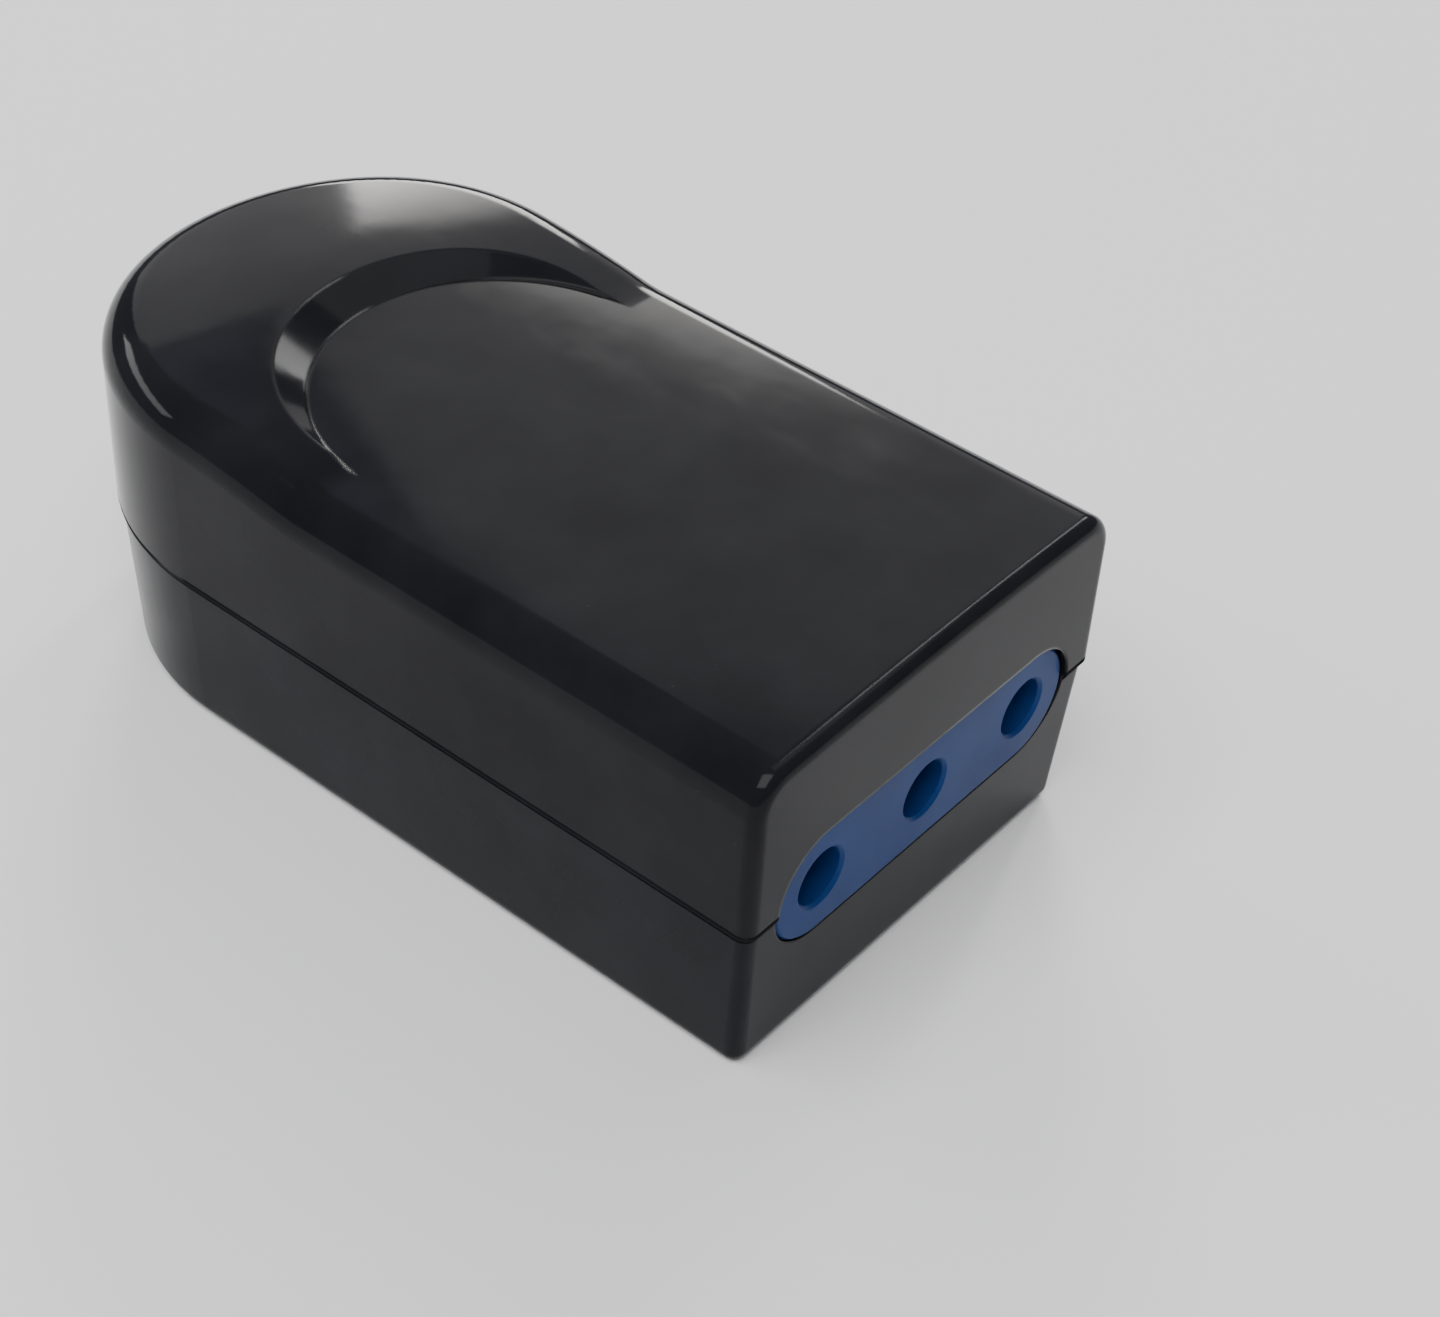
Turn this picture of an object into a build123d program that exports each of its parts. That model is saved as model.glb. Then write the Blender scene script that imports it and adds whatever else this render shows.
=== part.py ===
from build123d import *
import os
from math import hypot, sqrt

os.makedirs("parts", exist_ok=True)

# Three-pole in-line socket: a two-piece case, clamped round a row of three round-pin contacts.
# Frame: X across the case, Y along it with the pin face towards -Y, Z up from the base.
# The origin is the middle of the base's bounding box.

# Case, outside
BODY_WIDTH = 44.5
BODY_LENGTH = 83.0
PANEL_HEIGHT = 31.4
SPLIT_HEIGHT = 15.4
PANEL_CROWN = 0.5
RIM_RADIUS = 3.5
EDGE_RADIUS = 1.2
SEAM_STEP = 0.3
LOWER_DRAFT = 3.0

# Raised shoulder and thumb step on the top
SHOULDER_RISE = 1.6
SHOULDER_RADIUS = 110.0
SHOULDER_SETBACK = 17.0
SHOULDER_BLEND_RADIUS = 20.0
THUMB_RADIUS = 16.2
THUMB_SETBACK = 38.0
THUMB_WALL_RUN = 3.4

# Case, inside
SIDE_WALL = 2.2
FRONT_WALL = 2.6
TOP_WALL = 2.4
BASE_WALL = 2.2
CAVITY_CHAMFER = 1.8
FLOOR_CHAMFER = 1.0
LIP_INSET = 1.3
LIP_HEIGHT = 1.4
LIP_CLEARANCE = 0.1
RIB_THICKNESS = 1.4
RIB_ROOT = 0.4
RIB_INSET = 3.0
RETAINER_RIB_HEIGHT = 3.0

# Pin face
PIN_PITCH = 13.0
PIN_HOLE_RADIUS = 2.55
PIN_HOLE_CHAMFER = 0.28
FACE_SIDE_MARGIN = 3.75
FACE_HEIGHT = 10.7
FACE_RECESS = 0.45
FACE_CLEARANCE = 0.12
FACE_CHAMFER = 0.25
FLANGE_THICKNESS = 1.6
FLANGE_OVERLAP = 1.2
GUIDE_WALL = 1.65
GUIDE_LENGTH = 3.2

# Contact block and its retainer
BLOCK_LENGTH = 24.0
BLOCK_CORNER_RADIUS = 1.5
BLOCK_SIDE_CLEARANCE = 0.55
BORE_CLEARANCE = 0.14
BAY_WALL = 2.1
TERMINAL_BAY_LENGTH = 9.4
RETAINER_THICKNESS = 1.6
WIRE_ENTRY_RADIUS = 2.4
SEAT_CLEARANCE = 0.1

# Contacts
SLEEVE_WALL = 0.75
SLOT_WIDTH = 0.7
SLOT_LENGTH = 11.0
BARREL_RADIUS = 4.3
BARREL_FLAT = 3.8
WIRE_HOLE_RADIUS = 1.7
WIRE_HOLE_DEPTH = 7.4
SPRING_THICKNESS = 0.4
SPRING_WIDTH = 3.2
SPRING_GAP = 1.6
SPRING_SETBACK = 3.0
SPRING_CLEARANCE = 0.06

# Screws
THREAD_CLEARANCE = 0.05
TERMINAL_SCREW_RADIUS = 1.5
TERMINAL_SCREW_REACH = 2.6
TERMINAL_HEAD_RADIUS = 2.6
TERMINAL_HEAD_HEIGHT = 1.8
CLAMP_SCREW_RADIUS = 1.45
CLAMP_SCREW_LENGTH = 9.0
CLAMP_HEAD_RADIUS = 2.7
CLAMP_HEAD_HEIGHT = 1.9
CASE_SCREW_RADIUS = 1.7
CASE_SCREW_LENGTH = 17.0
CASE_HEAD_RADIUS = 2.9
CASE_HEAD_HEIGHT = 2.2
DRIVE_DEPTH = 1.0
DRIVE_WIDTH = 0.9
DRIVE_REACH = 0.75
HEAD_CHAMFER = 0.4
TIP_CHAMFER = 0.4

# Case screw bosses
CASE_SCREW_INSET = 7.05
CASE_SCREW_SETBACK = 44.0
UPPER_BOSS_WALL = 2.0
LOWER_BOSS_WALL = 1.2
HEAD_CLEARANCE = 0.3
COUNTERBORE_DEPTH = 4.6
SCREW_HOLE_CLEARANCE = 0.15
BOSS_TIP_DEPTH = 1.2

# Cord clamp and inlet
CORD_RADIUS = 4.5
INLET_CLEARANCE = 0.25
INLET_FLARE = 1.0
COLLAR_WALL = 2.25
COLLAR_LENGTH = 5.0
CLAMP_SETBACK = 64.0
CLAMP_POST_GAP = 1.4
CLAMP_POST_WALL = 1.65
CLAMP_POST_RISE = 1.0
CLAMP_BAR_WIDTH = 6.4
CLAMP_BAR_THICKNESS = 2.6
CLAMP_BITE = 0.6
SADDLE_THICKNESS = 1.6
SADDLE_SPACING = 9.6
SADDLE_DROP = 1.5
SADDLE_SHOULDER = 2.0
CLAMP_END_LENGTH = 3.0
CLAMP_CORNER_RADIUS = 2.4

# Derived places
HALF_WIDTH = BODY_WIDTH / 2
FRONT_Y = -BODY_LENGTH / 2
REAR_Y = BODY_LENGTH / 2
REAR_CENTRE_Y = REAR_Y - HALF_WIDTH
CROWN_RADIUS = (HALF_WIDTH**2 + PANEL_CROWN**2) / (2 * PANEL_CROWN)
CREST_Y = REAR_Y - SHOULDER_SETBACK
CAVITY_TOP = PANEL_HEIGHT - PANEL_CROWN - TOP_WALL
INNER_FRONT_Y = FRONT_Y + FRONT_WALL
THUMB_CENTRE_Y = REAR_Y - THUMB_SETBACK
FACE_Y = FRONT_Y + FACE_RECESS
FACE_LENGTH = BODY_WIDTH - 2 * FACE_SIDE_MARGIN
GUIDE_RADIUS = PIN_HOLE_RADIUS + GUIDE_WALL
GUIDE_ROW_LENGTH = 2 * (PIN_PITCH + GUIDE_RADIUS)
SLEEVE_RADIUS = PIN_HOLE_RADIUS + SLEEVE_WALL
SPRING_RADIUS = SLEEVE_RADIUS + SPRING_CLEARANCE + SPRING_THICKNESS
BLOCK_BORE_RADIUS = SPRING_RADIUS + BORE_CLEARANCE
BLOCK_WIDTH = BODY_WIDTH - 2 * (SIDE_WALL + BLOCK_SIDE_CLEARANCE)
BAY_RADIUS = BARREL_RADIUS + SEAT_CLEARANCE
BLOCK_HEIGHT = 2 * (BAY_RADIUS + BAY_WALL)
FLANGE_BACK_Y = INNER_FRONT_Y + FLANGE_THICKNESS
BLOCK_FRONT_Y = FLANGE_BACK_Y + GUIDE_LENGTH
BLOCK_BACK_Y = BLOCK_FRONT_Y + BLOCK_LENGTH
TERMINAL_FRONT_Y = BLOCK_BACK_Y - TERMINAL_BAY_LENGTH
TERMINAL_SCREW_Y = BLOCK_BACK_Y - TERMINAL_BAY_LENGTH / 2
BLOCK_TOP = SPLIT_HEIGHT + BLOCK_HEIGHT / 2
BLOCK_BOTTOM = SPLIT_HEIGHT - BLOCK_HEIGHT / 2
CASE_SCREW_X = HALF_WIDTH - CASE_SCREW_INSET
CASE_SCREW_Y = FRONT_Y + CASE_SCREW_SETBACK
UPPER_BOSS_RADIUS = CASE_SCREW_RADIUS + UPPER_BOSS_WALL
COUNTERBORE_RADIUS = CASE_HEAD_RADIUS + HEAD_CLEARANCE
LOWER_BOSS_RADIUS = COUNTERBORE_RADIUS + LOWER_BOSS_WALL
INLET_RADIUS = CORD_RADIUS + INLET_CLEARANCE
COLLAR_RADIUS = INLET_RADIUS + COLLAR_WALL
CLAMP_Y = FRONT_Y + CLAMP_SETBACK
CLAMP_POST_RADIUS = CLAMP_SCREW_RADIUS + CLAMP_POST_WALL
CLAMP_POST_X = CORD_RADIUS + CLAMP_POST_GAP + CLAMP_POST_RADIUS
CLAMP_BAR_X = CLAMP_POST_X + CLAMP_END_LENGTH
CLAMP_POST_TOP = SPLIT_HEIGHT + CLAMP_POST_RISE
COLLAR_FRONT_Y = REAR_Y - SIDE_WALL - COLLAR_LENGTH
PIN_PLACES = {"left": -PIN_PITCH, "earth": 0.0, "right": PIN_PITCH}
ABOVE = PANEL_HEIGHT
SLEEVE_FRONT_Y = BLOCK_FRONT_Y + SEAT_CLEARANCE
RETAINER_BACK_Y = BLOCK_BACK_Y + RETAINER_THICKNESS
LOWER_RIB_WIDTH = BODY_WIDTH - 2 * SIDE_WALL - RIB_ROOT
UPPER_RIB_HEIGHT = CAVITY_TOP + RIB_ROOT - SPLIT_HEIGHT
LOWER_RIB_HEIGHT = SPLIT_HEIGHT - BASE_WALL + RIB_ROOT
BOSS_WEB_X = (CASE_SCREW_X + HALF_WIDTH - SIDE_WALL + RIB_ROOT) / 2
BOSS_WEB_LENGTH = HALF_WIDTH - SIDE_WALL + RIB_ROOT - CASE_SCREW_X
CASE_SCREW_TIP = COUNTERBORE_DEPTH + CASE_SCREW_LENGTH


def plane_facing_front(y):
    """Upright plane across the case at y, its origin on the pin axis, its normal towards the front."""
    return Plane(origin=(0, y, SPLIT_HEIGHT), x_dir=(1, 0, 0), z_dir=(0, -1, 0))


def plane_facing_down(height):
    """Level plane at the height, its normal downwards, its Y still towards the rear."""
    return Plane(origin=(0, 0, height), x_dir=(-1, 0, 0), z_dir=(0, 0, -1))


def case_plan(inset, front_inset):
    """Outline of the case from above: straight front and sides, a half-round rear."""
    half = HALF_WIDTH - inset
    front = FRONT_Y + front_inset
    with BuildSketch() as plan:
        with BuildLine():
            Line((-half, front), (half, front))
            Line((half, front), (half, REAR_CENTRE_Y))
            ThreePointArc((half, REAR_CENTRE_Y), (0, REAR_CENTRE_Y + half), (-half, REAR_CENTRE_Y))
            Line((-half, REAR_CENTRE_Y), (-half, front))
        make_face()
    return plan.sketch


def inner_plan():
    """Outline of the hollow at the seam."""
    return case_plan(SIDE_WALL, FRONT_WALL)


def crowned_outline(top):
    """Upright outline, full width, below a shallow arc that peaks at height top on the middle plane."""
    reach = HALF_WIDTH + RIM_RADIUS
    edge = top - (CROWN_RADIUS - sqrt(CROWN_RADIUS**2 - reach**2))
    with BuildSketch() as outline:
        with BuildLine():
            Line((-reach, 0), (reach, 0))
            Line((reach, 0), (reach, edge))
            ThreePointArc((reach, edge), (0, top), (-reach, edge))
            Line((-reach, edge), (-reach, 0))
        make_face()
    return outline.sketch


def stadium(length, height, growth):
    """Stadium outline round the row of pin holes: its length and height, and how far it grows all round."""
    with BuildSketch() as outline:
        SlotOverall(length + 2 * growth, height + 2 * growth)
    return outline.sketch


def lip_ring(clearance):
    """Ring between the lip's outer outline, grown by the clearance, and the hollow."""
    with BuildSketch() as ring:
        add(case_plan(LIP_INSET - clearance, LIP_INSET - clearance))
        add(inner_plan(), mode=Mode.SUBTRACT)
    return ring.sketch


def on_case_wall(edge):
    """True for an edge whose middle lies on the upright side or rear wall of the case."""
    middle = edge.position_at(0.5)
    if middle.Y < REAR_CENTRE_Y:
        return abs(abs(middle.X) - HALF_WIDTH) < 0.01
    return abs(hypot(middle.X, middle.Y - REAR_CENTRE_Y) - HALF_WIDTH) < 0.01


# Forms that shape the top of the case
with BuildPart() as panel_form:
    with BuildSketch(Plane.XZ):
        add(crowned_outline(PANEL_HEIGHT))
    extrude(amount=BODY_LENGTH, both=True)

SHOULDER_TOP = PANEL_HEIGHT + SHOULDER_RISE
with BuildPart() as top_form:
    with BuildSketch(Plane(origin=(0, CREST_Y, 0), x_dir=(1, 0, 0), z_dir=(0, -1, 0))):
        add(crowned_outline(SHOULDER_TOP))
    revolve(axis=Axis((0, CREST_Y, SHOULDER_TOP - SHOULDER_RADIUS), (1, 0, 0)), revolution_arc=360)
    with BuildSketch(Plane.XZ.offset(-CREST_Y)):
        add(crowned_outline(PANEL_HEIGHT))
    extrude(amount=BODY_LENGTH)
    crease = [
        edge
        for edge in top_form.edges().filter_by(GeomType.LINE, reverse=True)
        if -BODY_LENGTH / 4 < edge.position_at(0.5).Y < CREST_Y - 1
        and abs(edge.position_at(0.5).Z - PANEL_HEIGHT) < 0.5
    ]
    fillet(crease, radius=SHOULDER_BLEND_RADIUS)

with BuildPart() as thumb_scoop:
    # A dish with a sloping wall, down to the panel's own surface
    with Locations((0, THUMB_CENTRE_Y, PANEL_HEIGHT)):
        Cone(
            THUMB_RADIUS,
            THUMB_RADIUS + THUMB_WALL_RUN * ABOVE / SHOULDER_RISE,
            ABOVE,
            align=(Align.CENTER, Align.CENTER, Align.MIN),
        )
    with Locations((0, THUMB_CENTRE_Y, PANEL_HEIGHT)):
        Cylinder(THUMB_RADIUS, PANEL_CROWN, align=(Align.CENTER, Align.CENTER, Align.MAX))
    add(panel_form.part, mode=Mode.SUBTRACT)

with BuildPart() as inlet_flare:
    # Widened mouth of the cord inlet
    with Locations(plane_facing_front(REAR_Y)):
        Cone(
            INLET_RADIUS + INLET_FLARE,
            INLET_RADIUS,
            INLET_FLARE,
            align=(Align.CENTER, Align.CENTER, Align.MIN),
        )

# Upper shell
with BuildPart() as upper_cavity:
    with BuildSketch(Plane.XY.offset(SPLIT_HEIGHT)):
        add(inner_plan())
    extrude(amount=CAVITY_TOP - SPLIT_HEIGHT)
    chamfer(upper_cavity.faces().sort_by(Axis.Z)[-1].edges(), length=CAVITY_CHAMFER)

with BuildPart() as upper_shell:
    # Outside: rounded along its sides and rear, then round the edge of the straight front
    with BuildSketch(Plane.XY.offset(SPLIT_HEIGHT)):
        add(case_plan(0, 0))
    extrude(amount=ABOVE)
    add(top_form.part, mode=Mode.INTERSECT)
    rim = [
        edge
        for edge in upper_shell.edges()
        if on_case_wall(edge)
        and edge.position_at(0.5).Z > SPLIT_HEIGHT + RIM_RADIUS
        and abs(edge.tangent_at(0.5).Z) < 0.5
    ]
    fillet(rim, radius=RIM_RADIUS)
    front_edges = [
        edge
        for edge in upper_shell.faces().sort_by(Axis.Y)[0].edges()
        if edge.position_at(0.5).Z > SPLIT_HEIGHT + EDGE_RADIUS
    ]
    fillet(front_edges, radius=EDGE_RADIUS)
    add(thumb_scoop.part, mode=Mode.SUBTRACT)
    add(upper_cavity.part, mode=Mode.SUBTRACT)

    # Ribs that press on the contact block, and the rib that traps the pin face's flange
    for rib_y in (BLOCK_FRONT_Y + RIB_INSET, BLOCK_BACK_Y - RIB_INSET - RIB_THICKNESS):
        with BuildSketch(Plane.XY.offset(BLOCK_TOP)):
            with Locations((0, rib_y + RIB_THICKNESS / 2)):
                Rectangle(BODY_WIDTH - 2 * SIDE_WALL + 2 * RIB_ROOT, RIB_THICKNESS)
        extrude(amount=CAVITY_TOP + RIB_ROOT - BLOCK_TOP)
    with BuildSketch(plane_facing_front(FLANGE_BACK_Y + SEAT_CLEARANCE)):
        with Locations((0, UPPER_RIB_HEIGHT / 2)):
            Rectangle(BODY_WIDTH - 2 * SIDE_WALL + 2 * RIB_ROOT, UPPER_RIB_HEIGHT)
        add(stadium(GUIDE_ROW_LENGTH, 2 * GUIDE_RADIUS, FACE_CLEARANCE), mode=Mode.SUBTRACT)
    extrude(amount=-RIB_THICKNESS)

    # Blind bosses for the case screws, each with a web to the side wall
    with BuildSketch(Plane.XY.offset(SPLIT_HEIGHT)):
        with Locations((-CASE_SCREW_X, CASE_SCREW_Y), (CASE_SCREW_X, CASE_SCREW_Y)):
            Circle(UPPER_BOSS_RADIUS)
        for side in (-1, 1):
            with Locations((side * BOSS_WEB_X, CASE_SCREW_Y)):
                Rectangle(BOSS_WEB_LENGTH, RIB_THICKNESS)
    extrude(amount=CAVITY_TOP + RIB_ROOT - SPLIT_HEIGHT)
    with Locations(
        (-CASE_SCREW_X, CASE_SCREW_Y, SPLIT_HEIGHT),
        (CASE_SCREW_X, CASE_SCREW_Y, SPLIT_HEIGHT),
    ):
        Cylinder(
            CASE_SCREW_RADIUS + THREAD_CLEARANCE,
            CASE_SCREW_TIP + BOSS_TIP_DEPTH - SPLIT_HEIGHT,
            align=(Align.CENTER, Align.CENTER, Align.MIN),
            mode=Mode.SUBTRACT,
        )

    # Upper half of the collar round the cord inlet
    with BuildSketch(plane_facing_front(COLLAR_FRONT_Y)):
        Circle(COLLAR_RADIUS)
        with Locations((0, -COLLAR_RADIUS)):
            Rectangle(2 * COLLAR_RADIUS, 2 * COLLAR_RADIUS, mode=Mode.SUBTRACT)
    extrude(amount=-(COLLAR_LENGTH + RIB_ROOT))

    # Openings that both halves share, and the rebate for the lower shell's lip
    with BuildSketch(plane_facing_front(FRONT_Y)):
        add(stadium(FACE_LENGTH, FACE_HEIGHT, FACE_CLEARANCE))
    extrude(amount=-FRONT_WALL, mode=Mode.SUBTRACT)
    with BuildSketch(plane_facing_front(REAR_Y)):
        Circle(INLET_RADIUS)
    extrude(amount=-(SIDE_WALL + COLLAR_LENGTH), both=True, mode=Mode.SUBTRACT)
    add(inlet_flare.part, mode=Mode.SUBTRACT)
    with BuildSketch(Plane.XY.offset(SPLIT_HEIGHT)):
        add(lip_ring(LIP_CLEARANCE))
    extrude(amount=LIP_HEIGHT + LIP_CLEARANCE, mode=Mode.SUBTRACT)
upper_shell.part.label = "upper_shell"
export_step(upper_shell.part, "parts/upper_shell.step")

# Lower shell
with BuildPart() as lower_cavity:
    with BuildSketch(plane_facing_down(SPLIT_HEIGHT)):
        add(inner_plan())
    extrude(amount=SPLIT_HEIGHT - BASE_WALL, taper=LOWER_DRAFT)
    chamfer(lower_cavity.faces().sort_by(Axis.Z)[0].edges(), length=FLOOR_CHAMFER)

with BuildPart() as lower_shell:
    # Outside and hollow, both drawn in towards the base
    with BuildSketch(plane_facing_down(SPLIT_HEIGHT)):
        add(case_plan(SEAM_STEP, SEAM_STEP))
    extrude(amount=SPLIT_HEIGHT, taper=LOWER_DRAFT)
    front_corners = [
        edge
        for edge in lower_shell.faces().sort_by(Axis.Y)[0].edges()
        if abs(edge.tangent_at(0.5).Z) > 0.5
    ]
    fillet(front_corners + lower_shell.faces().sort_by(Axis.Z)[0].edges(), radius=EDGE_RADIUS)
    add(lower_cavity.part, mode=Mode.SUBTRACT)

    # Seat for the pin face's flange in the drawn-in front wall
    with BuildSketch(plane_facing_front(INNER_FRONT_Y)):
        add(stadium(FACE_LENGTH, FACE_HEIGHT, FLANGE_OVERLAP + SEAT_CLEARANCE))
    extrude(amount=-FLANGE_THICKNESS, mode=Mode.SUBTRACT)

    # Lip that locates the upper shell
    with BuildSketch(Plane.XY.offset(SPLIT_HEIGHT)):
        add(lip_ring(0))
    extrude(amount=LIP_HEIGHT)

    # Floor ribs under the contact block, and the rib behind its retainer
    for rib_y in (BLOCK_FRONT_Y + RIB_INSET, BLOCK_BACK_Y - RIB_INSET - RIB_THICKNESS):
        with BuildSketch(plane_facing_down(BLOCK_BOTTOM)):
            with Locations((0, rib_y + RIB_THICKNESS / 2)):
                Rectangle(LOWER_RIB_WIDTH, RIB_THICKNESS)
        extrude(amount=BLOCK_BOTTOM - BASE_WALL + RIB_ROOT)
    with BuildSketch(plane_facing_down(BLOCK_BOTTOM + RETAINER_RIB_HEIGHT)):
        with Locations((0, RETAINER_BACK_Y + SEAT_CLEARANCE + RIB_THICKNESS / 2)):
            Rectangle(LOWER_RIB_WIDTH, RIB_THICKNESS)
    extrude(amount=BLOCK_BOTTOM + RETAINER_RIB_HEIGHT - BASE_WALL + RIB_ROOT)

    # Rib that traps the pin face's flange
    with BuildSketch(plane_facing_front(FLANGE_BACK_Y + SEAT_CLEARANCE)):
        with Locations((0, -LOWER_RIB_HEIGHT / 2)):
            Rectangle(LOWER_RIB_WIDTH, LOWER_RIB_HEIGHT)
        add(stadium(GUIDE_ROW_LENGTH, 2 * GUIDE_RADIUS, FACE_CLEARANCE), mode=Mode.SUBTRACT)
    extrude(amount=-RIB_THICKNESS)

    # Case screw bosses, drilled and counterbored from below
    with BuildSketch(Plane.XY.offset(BASE_WALL - RIB_ROOT)):
        with Locations((-CASE_SCREW_X, CASE_SCREW_Y), (CASE_SCREW_X, CASE_SCREW_Y)):
            Circle(LOWER_BOSS_RADIUS)
    extrude(amount=SPLIT_HEIGHT - BASE_WALL + RIB_ROOT)
    with Locations(plane_facing_down(0)):
        with Locations((-CASE_SCREW_X, CASE_SCREW_Y), (CASE_SCREW_X, CASE_SCREW_Y)):
            CounterBoreHole(
                CASE_SCREW_RADIUS + SCREW_HOLE_CLEARANCE,
                COUNTERBORE_RADIUS,
                COUNTERBORE_DEPTH,
                SPLIT_HEIGHT,
            )

    # Posts for the cord clamp, and the saddle ribs that the cord lies on
    with BuildSketch(Plane.XY.offset(BASE_WALL - RIB_ROOT)):
        with Locations((-CLAMP_POST_X, CLAMP_Y), (CLAMP_POST_X, CLAMP_Y)):
            Circle(CLAMP_POST_RADIUS)
    extrude(amount=CLAMP_POST_TOP - BASE_WALL + RIB_ROOT)
    with Locations((-CLAMP_POST_X, CLAMP_Y, CLAMP_POST_TOP), (CLAMP_POST_X, CLAMP_Y, CLAMP_POST_TOP)):
        Hole(
            CLAMP_SCREW_RADIUS + THREAD_CLEARANCE,
            CLAMP_SCREW_LENGTH - CLAMP_BAR_THICKNESS + BOSS_TIP_DEPTH,
        )
    for saddle_y in (CLAMP_Y - SADDLE_SPACING / 2, CLAMP_Y + SADDLE_SPACING / 2):
        with BuildSketch(plane_facing_front(saddle_y - SADDLE_THICKNESS / 2)):
            with Locations((0, -SADDLE_DROP)):
                Rectangle(
                    2 * (CORD_RADIUS + SADDLE_SHOULDER),
                    LOWER_RIB_HEIGHT - SADDLE_DROP,
                    align=(Align.CENTER, Align.MAX),
                )
            Circle(CORD_RADIUS, mode=Mode.SUBTRACT)
        extrude(amount=-SADDLE_THICKNESS)

    # Lower half of the collar round the cord inlet
    with BuildSketch(plane_facing_front(COLLAR_FRONT_Y)):
        Circle(COLLAR_RADIUS)
        Rectangle(2 * COLLAR_RADIUS, COLLAR_RADIUS, align=(Align.CENTER, Align.MIN), mode=Mode.SUBTRACT)
    extrude(amount=-(COLLAR_LENGTH + RIB_ROOT))

    # Openings that both halves share
    with BuildSketch(plane_facing_front(FRONT_Y)):
        add(stadium(FACE_LENGTH, FACE_HEIGHT, FACE_CLEARANCE))
    extrude(amount=-FRONT_WALL, mode=Mode.SUBTRACT)
    with BuildSketch(plane_facing_front(REAR_Y)):
        Circle(INLET_RADIUS)
    extrude(amount=-(SIDE_WALL + COLLAR_LENGTH), both=True, mode=Mode.SUBTRACT)
    add(inlet_flare.part, mode=Mode.SUBTRACT)
lower_shell.part.label = "lower_shell"
export_step(lower_shell.part, "parts/lower_shell.step")

# Pin face: plug in the front opening, flange behind the walls, a guide behind each hole
with BuildPart() as pin_face:
    with BuildSketch(plane_facing_front(INNER_FRONT_Y)):
        add(stadium(FACE_LENGTH, FACE_HEIGHT, 0))
    extrude(amount=INNER_FRONT_Y - FACE_Y)
    chamfer(pin_face.faces().sort_by(Axis.Y)[0].edges(), length=FACE_CHAMFER)
    with BuildSketch(plane_facing_front(FLANGE_BACK_Y)):
        add(stadium(FACE_LENGTH, FACE_HEIGHT, FLANGE_OVERLAP))
    extrude(amount=FLANGE_THICKNESS)
    with BuildSketch(plane_facing_front(BLOCK_FRONT_Y)):
        with Locations(*[(x, 0) for x in PIN_PLACES.values()]):
            Circle(GUIDE_RADIUS)
    extrude(amount=GUIDE_LENGTH)
    with BuildSketch(plane_facing_front(BLOCK_FRONT_Y)):
        with Locations(*[(x, 0) for x in PIN_PLACES.values()]):
            Circle(PIN_HOLE_RADIUS)
    extrude(amount=BLOCK_FRONT_Y - FACE_Y, mode=Mode.SUBTRACT)
    mouths = pin_face.faces().sort_by(Axis.Y)[0].edges().filter_by(GeomType.CIRCLE)
    mouths = [edge for edge in mouths if abs(edge.radius - PIN_HOLE_RADIUS) < FACE_CLEARANCE]
    chamfer(mouths, length=PIN_HOLE_CHAMFER)
pin_face.part.label = "pin_face"
export_step(pin_face.part, "parts/pin_face.step")

# Contact block: a bore for each sleeve, and a bay for each terminal, open above and behind
with BuildPart() as contact_block:
    with BuildSketch(plane_facing_front(BLOCK_BACK_Y)):
        RectangleRounded(BLOCK_WIDTH, BLOCK_HEIGHT, BLOCK_CORNER_RADIUS)
    extrude(amount=BLOCK_LENGTH)
    with BuildSketch(plane_facing_front(BLOCK_BACK_Y)):
        with Locations(*[(x, 0) for x in PIN_PLACES.values()]):
            Circle(BLOCK_BORE_RADIUS)
    extrude(amount=BLOCK_LENGTH, mode=Mode.SUBTRACT)
    with BuildSketch(plane_facing_front(BLOCK_BACK_Y)):
        with Locations(*[(x, 0) for x in PIN_PLACES.values()]):
            Circle(BAY_RADIUS)
            Rectangle(2 * BAY_RADIUS, BLOCK_HEIGHT, align=(Align.CENTER, Align.MIN))
    extrude(amount=TERMINAL_BAY_LENGTH, mode=Mode.SUBTRACT)
contact_block.part.label = "contact_block"
export_step(contact_block.part, "parts/contact_block.step")

with BuildPart() as contact_retainer:
    with BuildSketch(plane_facing_front(RETAINER_BACK_Y)):
        RectangleRounded(BLOCK_WIDTH, BLOCK_HEIGHT, BLOCK_CORNER_RADIUS)
        with Locations(*[(x, 0) for x in PIN_PLACES.values()]):
            Circle(WIRE_ENTRY_RADIUS, mode=Mode.SUBTRACT)
    extrude(amount=RETAINER_THICKNESS)
contact_retainer.part.label = "contact_retainer"
export_step(contact_retainer.part, "parts/contact_retainer.step")


def cross_head_screw(seat, head_radius, head_height, shank_radius, shank_length):
    """Screw with its head above the seat plane and its shank below, and a cross recess in the head."""
    with BuildPart(seat) as screw:
        Cylinder(head_radius, head_height, align=(Align.CENTER, Align.CENTER, Align.MIN))
        up = Axis(seat.origin, seat.z_dir)
        chamfer(screw.faces().sort_by(up)[-1].edges(), length=HEAD_CHAMFER)
        with Locations((0, 0, head_height)):
            for turn in (0, 90):
                Box(
                    2 * DRIVE_REACH * head_radius,
                    DRIVE_WIDTH,
                    2 * DRIVE_DEPTH,
                    rotation=(0, 0, turn),
                    mode=Mode.SUBTRACT,
                )
        Cylinder(shank_radius, shank_length, align=(Align.CENTER, Align.CENTER, Align.MAX))
        chamfer(screw.faces().sort_by(up)[0].edges(), length=TIP_CHAMFER)
    return screw.part


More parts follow.
